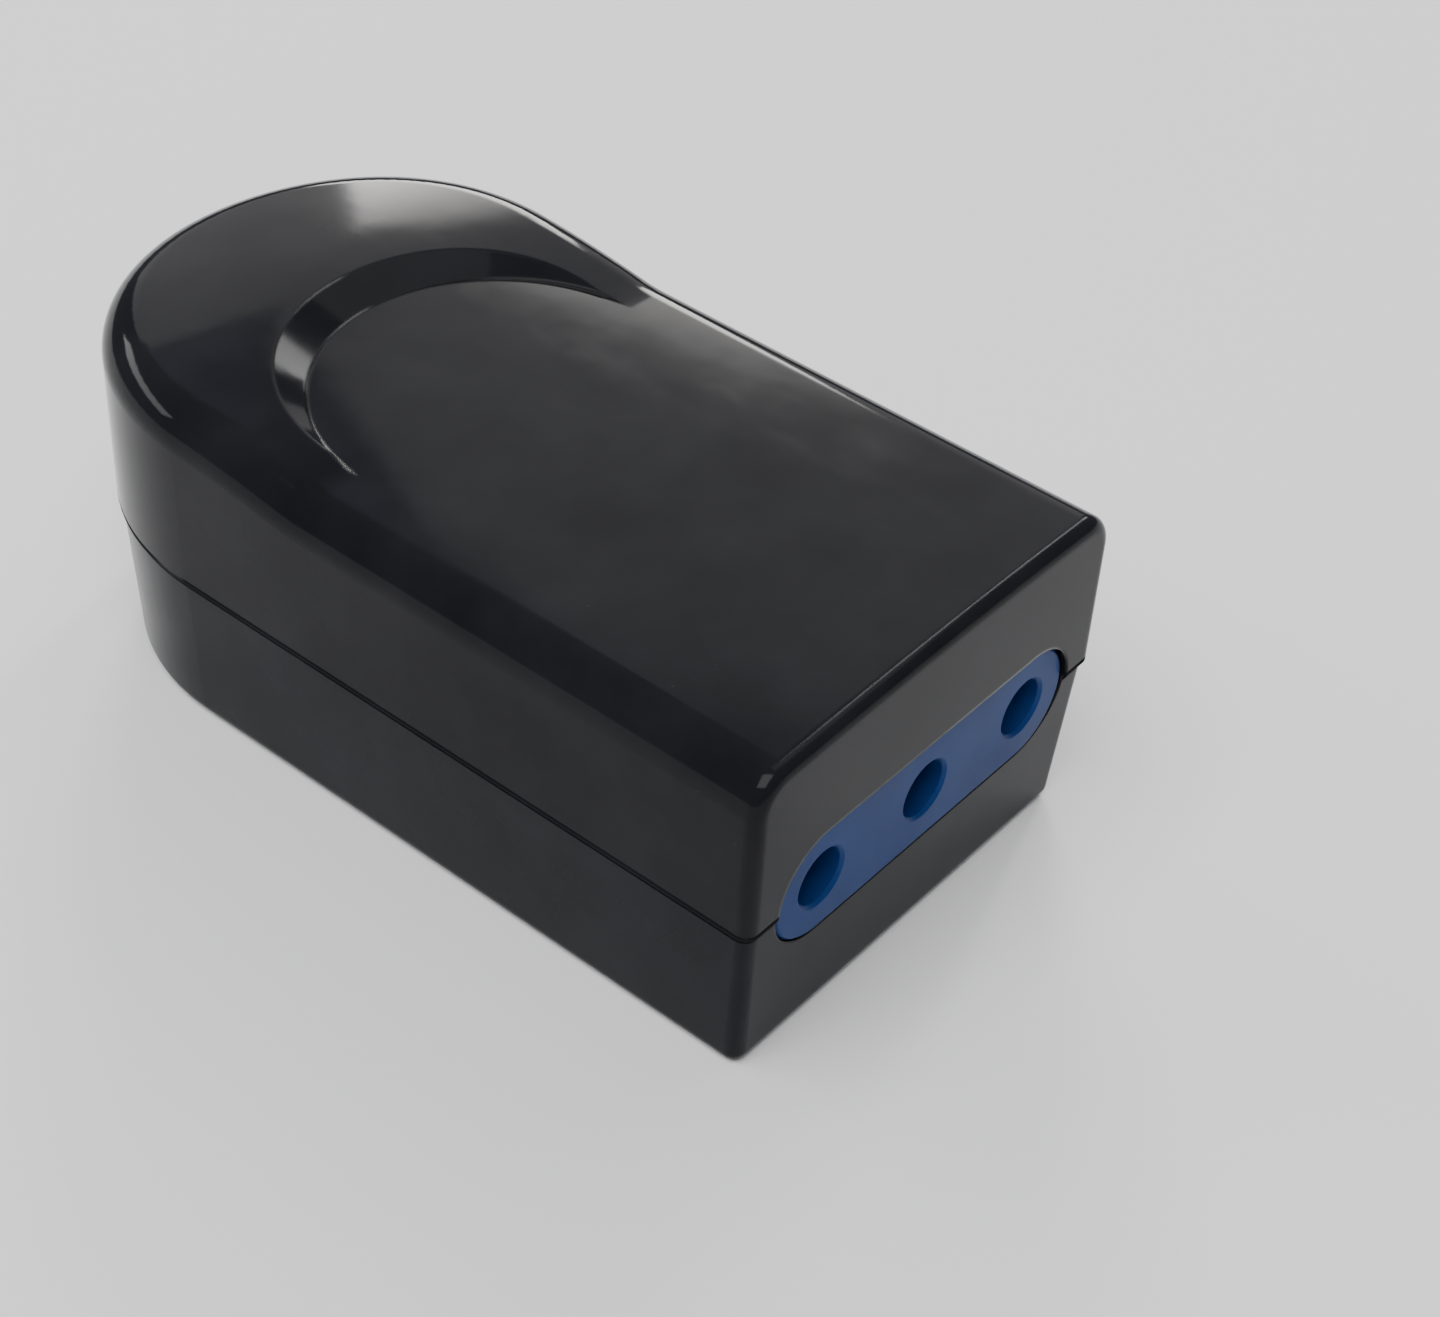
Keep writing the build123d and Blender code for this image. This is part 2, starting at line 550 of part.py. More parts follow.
# Contacts, one set for each pole
for pole, x in PIN_PLACES.items():
    with BuildPart() as contact:
        # Turned barrel and sleeve, then the pin bore, the cross slots and the wire hole
        with BuildSketch(plane_facing_front(BLOCK_BACK_Y)):
            with Locations((x, 0)):
                Circle(BARREL_RADIUS)
        extrude(amount=TERMINAL_BAY_LENGTH)
        with BuildSketch(plane_facing_front(TERMINAL_FRONT_Y)):
            with Locations((x, 0)):
                Circle(SLEEVE_RADIUS)
        extrude(amount=TERMINAL_FRONT_Y - SLEEVE_FRONT_Y)
        with BuildSketch(plane_facing_front(TERMINAL_FRONT_Y)):
            with Locations((x, 0)):
                Circle(PIN_HOLE_RADIUS)
        extrude(amount=TERMINAL_FRONT_Y - SLEEVE_FRONT_Y, mode=Mode.SUBTRACT)
        with BuildSketch(plane_facing_front(SLEEVE_FRONT_Y + SLOT_LENGTH)):
            with Locations((x, 0)):
                Rectangle(2 * BARREL_RADIUS, SLOT_WIDTH)
                Rectangle(SLOT_WIDTH, 2 * BARREL_RADIUS)
        extrude(amount=SLOT_LENGTH, mode=Mode.SUBTRACT)
        with BuildSketch(plane_facing_front(BLOCK_BACK_Y)):
            with Locations((x, 0)):
                Circle(WIRE_HOLE_RADIUS)
        extrude(amount=WIRE_HOLE_DEPTH, mode=Mode.SUBTRACT)
        with BuildSketch(Plane.XY.offset(SPLIT_HEIGHT + BARREL_FLAT)):
            with Locations((x, BLOCK_BACK_Y - TERMINAL_BAY_LENGTH / 2)):
                Rectangle(2 * BARREL_RADIUS, TERMINAL_BAY_LENGTH)
        extrude(amount=BARREL_RADIUS, mode=Mode.SUBTRACT)
        with Locations((x, TERMINAL_SCREW_Y, SPLIT_HEIGHT + BARREL_FLAT)):
            Hole(TERMINAL_SCREW_RADIUS + THREAD_CLEARANCE, BARREL_FLAT)
    contact.part.label = f"contact_{pole}"
    export_step(contact.part, f"parts/contact_{pole}.step")

    with BuildPart() as sleeve_spring:
        # Open steel ring round the slotted sleeve
        with BuildSketch(plane_facing_front(SLEEVE_FRONT_Y + SPRING_SETBACK + SPRING_WIDTH)):
            with Locations((x, 0)):
                Circle(SPRING_RADIUS)
                Circle(SLEEVE_RADIUS + SPRING_CLEARANCE, mode=Mode.SUBTRACT)
                Rectangle(
                    SPRING_GAP, 2 * SLEEVE_RADIUS, align=(Align.CENTER, Align.MAX), mode=Mode.SUBTRACT
                )
        extrude(amount=SPRING_WIDTH)
    sleeve_spring.part.label = f"sleeve_spring_{pole}"
    export_step(sleeve_spring.part, f"parts/sleeve_spring_{pole}.step")

    terminal_screw = cross_head_screw(
        Plane(origin=(x, TERMINAL_SCREW_Y, SPLIT_HEIGHT + BARREL_FLAT)),
        TERMINAL_HEAD_RADIUS,
        TERMINAL_HEAD_HEIGHT,
        TERMINAL_SCREW_RADIUS,
        TERMINAL_SCREW_REACH,
    )
    terminal_screw.label = f"terminal_screw_{pole}"
    export_step(terminal_screw, f"parts/terminal_screw_{pole}.step")

# Cord clamp: a bar on the two posts, arched over the cord
with BuildPart() as cord_clamp:
    with BuildSketch(plane_facing_front(CLAMP_Y - CLAMP_BAR_WIDTH / 2)):
        with Locations((0, CLAMP_POST_RISE)):
            Rectangle(2 * CLAMP_BAR_X, CLAMP_BAR_THICKNESS, align=(Align.CENTER, Align.MIN))
        Circle(CORD_RADIUS - CLAMP_BITE + CLAMP_BAR_THICKNESS)
        with Locations((0, CLAMP_POST_RISE)):
            Rectangle(2 * CLAMP_BAR_X, 2 * CLAMP_BAR_X, align=(Align.CENTER, Align.MAX), mode=Mode.SUBTRACT)
        Circle(CORD_RADIUS - CLAMP_BITE, mode=Mode.SUBTRACT)
    extrude(amount=-CLAMP_BAR_WIDTH)
    bar_ends = [
        edge
        for edge in cord_clamp.edges().filter_by(Axis.Z)
        if abs(edge.position_at(0.5).X) > CLAMP_POST_X
    ]
    fillet(bar_ends, radius=CLAMP_CORNER_RADIUS)
    with Locations(
        (-CLAMP_POST_X, CLAMP_Y, CLAMP_POST_TOP + CLAMP_BAR_THICKNESS),
        (CLAMP_POST_X, CLAMP_Y, CLAMP_POST_TOP + CLAMP_BAR_THICKNESS),
    ):
        Hole(CLAMP_SCREW_RADIUS + SCREW_HOLE_CLEARANCE)
cord_clamp.part.label = "cord_clamp"
export_step(cord_clamp.part, "parts/cord_clamp.step")

# Clamp screws from above and case screws from below
for side, name in ((-1, "left"), (1, "right")):
    clamp_screw = cross_head_screw(
        Plane(origin=(side * CLAMP_POST_X, CLAMP_Y, CLAMP_POST_TOP + CLAMP_BAR_THICKNESS)),
        CLAMP_HEAD_RADIUS,
        CLAMP_HEAD_HEIGHT,
        CLAMP_SCREW_RADIUS,
        CLAMP_SCREW_LENGTH,
    )
    clamp_screw.label = f"clamp_screw_{name}"
    export_step(clamp_screw, f"parts/clamp_screw_{name}.step")

    case_screw = cross_head_screw(
        Plane(origin=(side * CASE_SCREW_X, CASE_SCREW_Y, COUNTERBORE_DEPTH), z_dir=(0, 0, -1)),
        CASE_HEAD_RADIUS,
        CASE_HEAD_HEIGHT,
        CASE_SCREW_RADIUS,
        CASE_SCREW_LENGTH,
    )
    case_screw.label = f"case_screw_{name}"
    export_step(case_screw, f"parts/case_screw_{name}.step")
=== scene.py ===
"""Looks of an in-line mains socket: glossy two-piece case, blue pin face, contacts and clamp inside.

Sizes are in metres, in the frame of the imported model: X across the case, Y from the pin face to the
cord inlet, Z up from the base.
"""

from __future__ import annotations

import logging
import math
from dataclasses import dataclass, field
from enum import Enum
from typing import Any, Sequence

import bpy
from mathutils import Matrix, Vector


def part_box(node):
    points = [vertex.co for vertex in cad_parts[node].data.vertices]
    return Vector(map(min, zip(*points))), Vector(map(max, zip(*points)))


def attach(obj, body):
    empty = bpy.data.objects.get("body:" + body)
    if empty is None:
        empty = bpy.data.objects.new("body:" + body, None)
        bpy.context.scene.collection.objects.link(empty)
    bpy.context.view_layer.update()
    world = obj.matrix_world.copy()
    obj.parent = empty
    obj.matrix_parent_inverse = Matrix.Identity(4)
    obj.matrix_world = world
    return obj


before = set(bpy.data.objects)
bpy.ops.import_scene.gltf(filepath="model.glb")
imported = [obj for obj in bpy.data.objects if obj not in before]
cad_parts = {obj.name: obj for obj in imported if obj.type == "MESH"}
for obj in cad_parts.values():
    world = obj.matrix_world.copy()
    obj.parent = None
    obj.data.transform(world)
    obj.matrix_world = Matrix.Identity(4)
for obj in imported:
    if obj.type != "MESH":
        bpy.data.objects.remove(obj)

LOG = logging.getLogger("socket")
MM = 0.001
MICRON = 1e-6
Colour = tuple[float, float, float]
BLACK: Colour = (0.0, 0.0, 0.0)
EDGE_SAMPLES = 8


class Body(Enum):
    """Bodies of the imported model."""

    ROOT = "root"


class Drive(Enum):
    """The way a screw's tip points."""

    UP = "up"
    DOWN = "down"


# ---------------------------------------------------------------- node trees


@dataclass(frozen=True)
class Signal:
    """A number that comes out of a shader node, with the usual operators."""

    tree: "Shader"
    socket: bpy.types.NodeSocket

    def _math(self, operation: str, *values: Any) -> "Signal":
        """Adds one Math node on the given values, each a Signal or a number."""
        return self.tree.math(operation, *values)

    def __add__(self, other: Any) -> "Signal":
        """Sum."""
        return self._math("ADD", self, other)

    __radd__ = __add__

    def __sub__(self, other: Any) -> "Signal":
        """Difference."""
        return self._math("SUBTRACT", self, other)

    def __rsub__(self, other: Any) -> "Signal":
        """Difference, the other way round."""
        return self._math("SUBTRACT", other, self)

    def __mul__(self, other: Any) -> "Signal":
        """Product."""
        return self._math("MULTIPLY", self, other)

    __rmul__ = __mul__

    def __truediv__(self, other: Any) -> "Signal":
        """Quotient."""
        return self._math("DIVIDE", self, other)

    def clamped(self) -> "Signal":
        """The value held between 0 and 1."""
        return self._math("MINIMUM", self._math("MAXIMUM", self, 0.0), 1.0)


class Wiring:
    """A node tree that is built by calls."""

    def __init__(self, tree: bpy.types.NodeTree) -> None:
        """Takes the tree that the nodes go into.

        Args:
            tree: a shader's or a modifier's node tree.
        """
        self.nodes = tree.nodes
        self.links = tree.links

    def node(self, kind: str, settings: dict[str, Any] | None = None, **values: Any) -> bpy.types.Node:
        """Adds a node.

        Args:
            kind: the node's type.
            settings: its properties, set before the sockets.
            values: its sockets by name, with _ for a space, or in0, in1 by place.

        Returns:
            The node.
        """
        made = self.nodes.new(kind)
        for key, value in (settings or {}).items():
            setattr(made, key, value)
        for key, value in values.items():
            where = int(key[2:]) if key[2:].isdigit() else key.replace("_", " ")
            socket = made.inputs[where]
            if isinstance(value, Signal):
                self.links.new(value.socket, socket)
            elif isinstance(value, bpy.types.NodeSocket):
                self.links.new(value, socket)
            elif isinstance(value, tuple) and socket.type == "RGBA":
                socket.default_value = (*value, 1.0)
            else:
                socket.default_value = value
        return made


class Shader(Wiring):
    """A material's node tree, built by expressions."""

    def __init__(self, name: str) -> None:
        """Starts an empty material.

        Args:
            name: the material's name.
        """
        self.material = bpy.data.materials.new(name)
        self.material.use_nodes = True
        super().__init__(self.material.node_tree)
        self.nodes.clear()
        self.place = self.node("ShaderNodeTexCoord").outputs["Object"]

    def math(self, operation: str, *values: Any) -> Signal:
        """Adds one Math node on the given values, each a Signal or a number."""
        made = self.node("ShaderNodeMath", {"operation": operation}, **{f"in{i}": v for i, v in enumerate(values)})
        return Signal(self, made.outputs[0])

    def along(self, axis: str) -> Signal:
        """The place on the piece along X, Y or Z, in metres."""
        return Signal(self, self.node("ShaderNodeSeparateXYZ", None, Vector=self.place).outputs[axis])

    def noise(
        self, size: float, detail: float = 2.0, stretch: Sequence[float] = (1, 1, 1), rough: float = 0.5
    ) -> Signal:
        """Noise with features of about the given size.

        Args:
            size: feature size in metres.
            detail: octaves.
            stretch: scale of the pattern along each axis, over 1 for finer.
            rough: weight of the fine octaves.

        Returns:
            The noise, about 0.5 in the middle.
        """
        mapped = self.node("ShaderNodeMapping", None, Vector=self.place, Scale=tuple(stretch)).outputs[0]
        made = self.node(
            "ShaderNodeTexNoise",
            {"noise_dimensions": "3D"},
            Vector=mapped,
            Scale=1.0 / size,
            Detail=detail,
            Roughness=rough,
        )
        return Signal(self, made.outputs[0])

    def specks(self, spacing: float, radius: float) -> Signal:
        """Scattered dots, 1 in their middles.

        Args:
            spacing: mean distance between dots, in metres.
            radius: radius of a dot as a share of that distance.

        Returns:
            The mask of the dots.
        """
        made = self.node("ShaderNodeTexVoronoi", {"feature": "F1"}, Vector=self.place, Scale=1.0 / spacing)
        return (1.0 - Signal(self, made.outputs["Distance"]) / radius).clamped()

    def ramp(self, value: Signal, low: float, high: float) -> Signal:
        """The value stretched so that low becomes 0 and high becomes 1, and held there."""
        return ((value - low) / (high - low)).clamped()

    def colours(self, first: Any, second: Any, factor: Signal) -> bpy.types.NodeSocket:
        """Mixes two colours.

        Args:
            first: colour at factor 0, a tuple or a socket.
            second: colour at factor 1.
            factor: the share of the second.

        Returns:
            The mixed colour's socket.
        """
        made = self.node("ShaderNodeMix", {"data_type": "RGBA"}, in0=factor, in6=first, in7=second)
        return next(s for s in made.outputs if s.type == "RGBA")

    def bump(self, height: Signal, distance: float, edge: float) -> bpy.types.NodeSocket:
        """Turns a height into a normal, on edges that look rounded.

        Args:
            height: the height, as a share of the distance.
            distance: what a height of 1 stands for, in metres.
            edge: radius of the rounding, in metres.

        Returns:
            The normal's socket.
        """
        soft = self.node("ShaderNodeBevel", {"samples": EDGE_SAMPLES}, Radius=edge).outputs[0]
        return self.node("ShaderNodeBump", None, Distance=distance, Height=height, Normal=soft).outputs[0]

    def surface(self, **values: Any) -> bpy.types.Material:
        """Closes the tree with a Principled shader.

        Args:
            values: the shader's sockets.

        Returns:
            The finished material.
        """
        shader = self.node("ShaderNodeBsdfPrincipled", None, **values)
        self.node("ShaderNodeOutputMaterial", None, Surface=shader.outputs[0])
        return self.material


# ---------------------------------------------------------------- finishes


@dataclass(frozen=True)
class Mottle:
    """Patches that come out of a noise.

    Args:
        size: size of a patch, in metres.
        low: level of the noise where a patch begins.
        high: level of the noise where it is full.
        detail: octaves of the noise.
        stretch: scale of the noise along each axis, under 1 for longer patches.
        rough: weight of the fine octaves.
    """

    size: float
    low: float
    high: float
    detail: float = 3.0
    stretch: tuple[float, float, float] = (1.0, 1.0, 1.0)
    rough: float = 0.5

    def mask(self, s: Shader) -> Signal:
        """The share of the patches at each place, 0 to 1."""
        return s.ramp(s.noise(self.size, self.detail, self.stretch, self.rough), self.low, self.high)


@dataclass(frozen=True)
class MouldedPlastic:
    """Injection-moulded plastic: faint waviness, fine grain, dust and rubbed patches.

    Args:
        name: material name.
        colour: base colour.
        roughness: roughness of clean plastic.
        specular: specular level.
        grain: depth of the fine grain, in metres.
        wave: depth of the slow waviness, in metres.
        smear: how much rougher a rubbed patch is.
        dust: share of the surface's dust specks that show.
        edge: radius to which its edges look rounded, in metres.
        seam: lowest and highest place of a bevel beside the seam, which leans inwards as it rises, in metres.
        pale: patches that are a little lighter.
        pale_gain: how many times lighter they are.
        pale_lift: what is added to their colour besides.
        rubbed: patches rubbed rougher.
        streaked: streaks rubbed rougher.
        streak_share: how rough the streaks are, as a share of the patches.
        wave_size: length of the slow waves, in metres.
        grain_size: size of the fine grain, in metres.
        dusty: patches where dust gathers.
        mote_spacing: mean distance between dust specks, in metres.
        mote_radius: radius of a speck as a share of that distance.
        mote_roughness: how much rougher a speck is.
        mote_colour: colour of the dust.
    """

    name: str
    colour: Colour
    roughness: float
    specular: float
    grain: float
    wave: float
    smear: float
    dust: float
    edge: float = 0.2 * MM
    seam: tuple[float, float] | None = None
    pale: Mottle = Mottle(9 * MM, 0.35, 0.75)
    pale_gain: float = 1.35
    pale_lift: float = 0.002
    rubbed: Mottle = Mottle(14 * MM, 0.5, 0.72, detail=4.0, stretch=(1.0, 0.7, 1.0), rough=0.62)
    streaked: Mottle = Mottle(3 * MM, 0.56, 0.8, stretch=(1.0, 0.12, 1.0))
    streak_share: float = 0.5
    wave_size: float = 2.6 * MM
    grain_size: float = 0.16 * MM
    dusty: Mottle = Mottle(6 * MM, 0.5, 0.65, detail=1.0)
    mote_spacing: float = 1.6 * MM
    mote_radius: float = 0.035
    mote_roughness: float = 0.3
    mote_colour: Colour = (0.32, 0.31, 0.29)

    def tint(self, s: Shader, motes: Signal) -> bpy.types.NodeSocket:
        """The surface's colour.

        Args:
            s: the material's tree.
            motes: the mask of the dust specks.

        Returns:
            The colour's socket.
        """
        lighter = tuple(min(1.0, channel * self.pale_gain + self.pale_lift) for channel in self.colour)
        clean = s.colours(self.colour, lighter, self.pale.mask(s))
        return s.colours(clean, self.mote_colour, motes * self.dust)

    def rub(self, s: Shader, motes: Signal) -> Signal:
        """The surface's roughness.

        Args:
            s: the material's tree.
            motes: the mask of the dust specks.

        Returns:
            The roughness.
        """
        worn = self.rubbed.mask(s) * self.smear + self.streaked.mask(s) * (self.smear * self.streak_share)
        return self.roughness + worn + motes * self.mote_roughness

    def relief(self, s: Shader) -> Signal:
        """The surface's height.

        Args:
            s: the material's tree.

        Returns:
            The height, as a share of the grain's depth.
        """
        height = s.noise(self.wave_size, 1.0) * (self.wave / self.grain) + s.noise(self.grain_size, 2.0)
        if self.seam:
            low, high = self.seam
            height = height - s.ramp(s.along("Z"), low, high) * ((high - low) / self.grain)
        return height

    def build(self) -> bpy.types.Material:
        """Makes the material."""
        s = Shader(self.name)
        motes = s.specks(self.mote_spacing, self.mote_radius) * self.dusty.mask(s)
        return s.surface(
            Base_Color=self.tint(s, motes),
            Roughness=self.rub(s, motes),
            Specular_IOR_Level=self.specular,
            Normal=s.bump(self.relief(s), self.grain, self.edge),
        )


@dataclass(frozen=True)
class TurnedMetal:
    """Metal with turning marks and a slight tarnish.

    Args:
        name: material name.
        colour: colour of the clean metal.
        tarnish: colour of the dull patches.
        roughness: roughness of the clean metal.
        groove: depth of the turning marks, in metres.
        edge: radius to which its edges look rounded, in metres.
        dulled: the dull patches.
        dull_roughness: how much rougher a dull patch is.
        mark_size: width of the turning marks, in metres.
        mark_roughness: how much rougher the ridges between them are.
    """

    name: str
    colour: Colour
    tarnish: Colour
    roughness: float
    groove: float
    edge: float = 0.12 * MM
    dulled: Mottle = Mottle(2.4 * MM, 0.45, 0.75, detail=4.0, rough=0.6)
    dull_roughness: float = 0.2
    mark_size: float = 0.12 * MM
    mark_roughness: float = 0.08

    def build(self) -> bpy.types.Material:
        """Makes the material."""
        s = Shader(self.name)
        dull = self.dulled.mask(s)
        marks = s.noise(self.mark_size, 2.0, (0.15, 1.0, 0.15))
        return s.surface(
            Base_Color=s.colours(self.colour, self.tarnish, dull),
            Metallic=1.0,
            Roughness=self.roughness + dull * self.dull_roughness + marks * self.mark_roughness,
            Normal=s.bump(marks, self.groove, self.edge),
        )


SEAM_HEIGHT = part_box("upper_shell")[0].z
GLOSS_BLACK = MouldedPlastic(
    name="gloss_black",
    colour=(0.0084, 0.0086, 0.0101),
    roughness=0.075,
    specular=0.09,
    grain=0.9 * MICRON,
    wave=3.0 * MICRON,
    smear=0.06,
    dust=0.35,
    edge=0.45 * MM,
    seam=(SEAM_HEIGHT, SEAM_HEIGHT + 0.45 * MM),
)
SATIN_BLACK = MouldedPlastic(
    name="satin_black",
    colour=(0.0085, 0.009, 0.0112),
    roughness=0.2,
    specular=0.075,
    grain=2.2 * MICRON,
    wave=3.0 * MICRON,
    smear=0.07,
    dust=0.3,
    edge=0.3 * MM,
    seam=(SEAM_HEIGHT - 0.65 * MM, SEAM_HEIGHT - 0.2 * MM),
)
SLATE_BLUE = MouldedPlastic(
    name="slate_blue",
    colour=(0.0065, 0.031, 0.13),
    roughness=0.38,
    specular=0.1,
    grain=2.5 * MICRON,
    wave=2.0 * MICRON,
    smear=0.06,
    dust=0.2,
    edge=0.15 * MM,
)
CARRIER_GREY = MouldedPlastic(
    name="carrier_grey",
    colour=(0.06, 0.06, 0.065),
    roughness=0.5,
    specular=0.3,
    grain=4.0 * MICRON,
    wave=2.0 * MICRON,
    smear=0.05,
    dust=0.1,
)
BRASS = TurnedMetal(
    name="turned_brass",
    colour=(0.75, 0.53, 0.24),
    tarnish=(0.42, 0.27, 0.12),
    roughness=0.25,
    groove=2.0 * MICRON,
)
SPRING_STEEL = TurnedMetal(
    name="spring_steel",
    colour=(0.33, 0.34, 0.38),
    tarnish=(0.14, 0.14, 0.17),
    roughness=0.28,
    groove=1.0 * MICRON,
)
ZINC_STEEL = TurnedMetal(
    name="zinc_steel",
    colour=(0.66, 0.66, 0.64),
    tarnish=(0.4, 0.41, 0.4),
    roughness=0.3,
    groove=1.0 * MICRON,
)


# ---------------------------------------------------------------- pieces


def dress(node: str, material: bpy.types.Material) -> None:
    """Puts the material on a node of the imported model.

    Args:
        node: the node's name.
        material: its finish.
    """
    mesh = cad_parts[node].data
    mesh.materials.clear()
    mesh.materials.append(material)


@dataclass
class Housing:
    """The two half shells of the case."""

    upper: str = "upper_shell"
    lower: str = "lower_shell"

    def build(self) -> list[str]:
        """Dresses both halves.

        Returns:
            Their names.
        """
        dress(self.upper, GLOSS_BLACK.build())
        dress(self.lower, SATIN_BLACK.build())
        return [self.upper, self.lower]


@dataclass
class PinFace:
    """The blue insert with its three holes."""

    node: str = "pin_face"

    def build(self) -> list[str]:
        """Dresses the insert and returns its name."""
        dress(self.node, SLATE_BLUE.build())
        return [self.node]


@dataclass(frozen=True)
class Thread:
    """The thread on the shanks of a row of like screws.

    Args:
        name: name of the finished piece.
        screws: the screws' nodes, evenly spaced.
        shank: radius of the plain shank.
        pitch: rise of one turn.
        bare: plain length between the head and the thread.
        head: height of the head.
        drive: the way the tips point.
        ridge: radius of the ridge.
        proud: how far the ridge stands out of the shank.
        end: plain length left at the tip.
        steps: straight pieces in one turn.
        facets: faces round the ridge.
    """

    name: str
    screws: tuple[str, ...]
    shank: float
    pitch: float
    bare: float
    head: float
    drive: Drive = Drive.DOWN
    ridge: float = 0.16 * MM
    proud: float = 0.045 * MM
    end: float = 0.6 * MM
    steps: int = 24
    facets: int = 6

    def tree(self) -> bpy.types.GeometryNodeTree:
        """Makes the helix that repeats along the row of screws.

        Returns:
            The tree for a Geometry Nodes modifier.
        """
        tree = bpy.data.node_groups.new(f"{self.name}_tree", "GeometryNodeTree")
        tree.interface.new_socket("Geometry", in_out="OUTPUT", socket_type="NodeSocketGeometry")
        kinds = {
            "Shank Radius": "NodeSocketFloat",
            "Pitch": "NodeSocketFloat",
            "Turns": "NodeSocketFloat",
            "Ridge Radius": "NodeSocketFloat",
            "Proud": "NodeSocketFloat",
            "Foot": "NodeSocketVector",
            "Spacing": "NodeSocketVector",
            "Count": "NodeSocketInt",
            "Material": "NodeSocketMaterial",
        }
        for label, kind in kinds.items():
            tree.interface.new_socket(label, in_out="INPUT", socket_type=kind)
        w = Wiring(tree)
        given = w.node("NodeGroupInput").outputs

        def combine(operation: str, first: Any, second: Any) -> bpy.types.NodeSocket:
            """Adds one Math node on two sockets."""
            return w.node("ShaderNodeMath", {"operation": operation}, in0=first, in1=second).outputs[0]

        sunk = combine("SUBTRACT", given["Proud"], given["Ridge Radius"])
        reach = combine("ADD", given["Shank Radius"], sunk)
        spiral = w.node(
            "GeometryNodeCurveSpiral",
            None,
            Resolution=self.steps,
            Rotations=given["Turns"],
            Start_Radius=reach,
            End_Radius=reach,
            Height=combine("MULTIPLY", given["Pitch"], given["Turns"]),
        ).outputs[0]
        profile = w.node(
            "GeometryNodeCurvePrimitiveCircle", None, Resolution=self.facets, Radius=given["Ridge Radius"]
        ).outputs[0]
        helix = w.node("GeometryNodeCurveToMesh", None, Curve=spiral, Profile_Curve=profile, Fill_Caps=True)
        row = w.node(
            "GeometryNodeMeshLine", None, Count=given["Count"], Start_Location=given["Foot"], Offset=given["Spacing"]
        )
        copies = w.node("GeometryNodeInstanceOnPoints", None, Points=row.outputs[0], Instance=helix.outputs[0])
        real = w.node("GeometryNodeRealizeInstances", None, Geometry=copies.outputs[0])
        coated = w.node("GeometryNodeSetMaterial", None, Geometry=real.outputs[0], Material=given["Material"])
        w.node("NodeGroupOutput", None, in0=coated.outputs[0])
        return tree

    def values(self, material: bpy.types.Material) -> dict[str, Any]:
        """Works out the tree's inputs from the screws' places.

        Args:
            material: the thread's finish.

        Returns:
            The value of each named input.
        """
        boxes = [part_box(screw) for screw in self.screws]
        first, second = ((low + high) / 2 for low, high in boxes[:2])
        low, high = boxes[0]
        length = high.z - low.z - self.head - self.bare - self.end
        start = high.z - self.end - length if self.drive is Drive.UP else low.z + self.end
        return {
            "Shank Radius": self.shank,
            "Pitch": self.pitch,
            "Turns": length / self.pitch,
            "Ridge Radius": self.ridge,
            "Proud": self.proud,
            "Foot": (first.x, first.y, start),
            "Spacing": tuple(second - first),
            "Count": len(self.screws),
            "Material": material,
        }

    def build(self, material: bpy.types.Material) -> str:
        """Makes the threads of the row as one mesh.

        Args:
            material: the thread's finish.

        Returns:
            The piece's name.
        """
        tree = self.tree()
        made = bpy.data.objects.new(self.name, bpy.data.meshes.new(self.name))
        bpy.context.scene.collection.objects.link(made)
        modifier = made.modifiers.new("threads", "NODES")
        modifier.node_group = tree
        values = self.values(material)
        for item in tree.interface.items_tree:
            if item.in_out == "INPUT":
                modifier[item.identifier] = values[item.name]
        bpy.context.view_layer.update()
        baked = bpy.data.meshes.new_from_object(made.evaluated_get(bpy.context.evaluated_depsgraph_get()))
        made.modifiers.clear()
        made.data = baked
        baked.name = self.name
        for polygon in baked.polygons:
            polygon.use_smooth = True
        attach(made, Body.ROOT.value)
        return self.name


@dataclass
class ContactGear:
    """Carrier, sleeves, springs, cord clamp and all screws."""

    poles: tuple[str, ...] = ("left", "earth", "right")
    sides: tuple[str, ...] = ("left", "right")

    def threads(self) -> list[Thread]:
        """The threads of the three kinds of screw.

        Returns:
            One thread for each row of like screws.
        """
        return [
            Thread(
                name="terminal_threads",
                screws=tuple(f"terminal_screw_{pole}" for pole in self.poles),
                shank=1.5 * MM,
                pitch=0.5 * MM,
                bare=0.2 * MM,
                head=1.8 * MM,
                ridge=0.12 * MM,
                end=0.4 * MM,
            ),
            Thread(
                name="clamp_threads",
                screws=tuple(f"clamp_screw_{side}" for side in self.sides),
                shank=1.45 * MM,
                pitch=1.1 * MM,
                bare=2.7 * MM,
                head=1.9 * MM,
            ),
            Thread(
                name="case_threads",
                screws=tuple(f"case_screw_{side}" for side in self.sides),
                shank=1.7 * MM,
                pitch=1.3 * MM,
                bare=9.6 * MM,
                head=2.2 * MM,
                drive=Drive.UP,
            ),
        ]

    def build(self) -> list[str]:
        """Dresses the pieces and threads the screws.

        Returns:
            All their names.
        """
        grey, brass, spring, zinc = (f.build() for f in (CARRIER_GREY, BRASS, SPRING_STEEL, ZINC_STEEL))
        made = {"contact_block": grey, "contact_retainer": grey, "cord_clamp": grey}
        for pole in self.poles:
            made[f"contact_{pole}"] = brass
            made[f"sleeve_spring_{pole}"] = spring
            made[f"terminal_screw_{pole}"] = zinc
        for side in self.sides:
            made[f"clamp_screw_{side}"] = zinc
            made[f"case_screw_{side}"] = zinc
        for node, material in made.items():
            dress(node, material)
        return list(made) + [thread.build(zinc) for thread in self.threads()]


# ---------------------------------------------------------------- studio


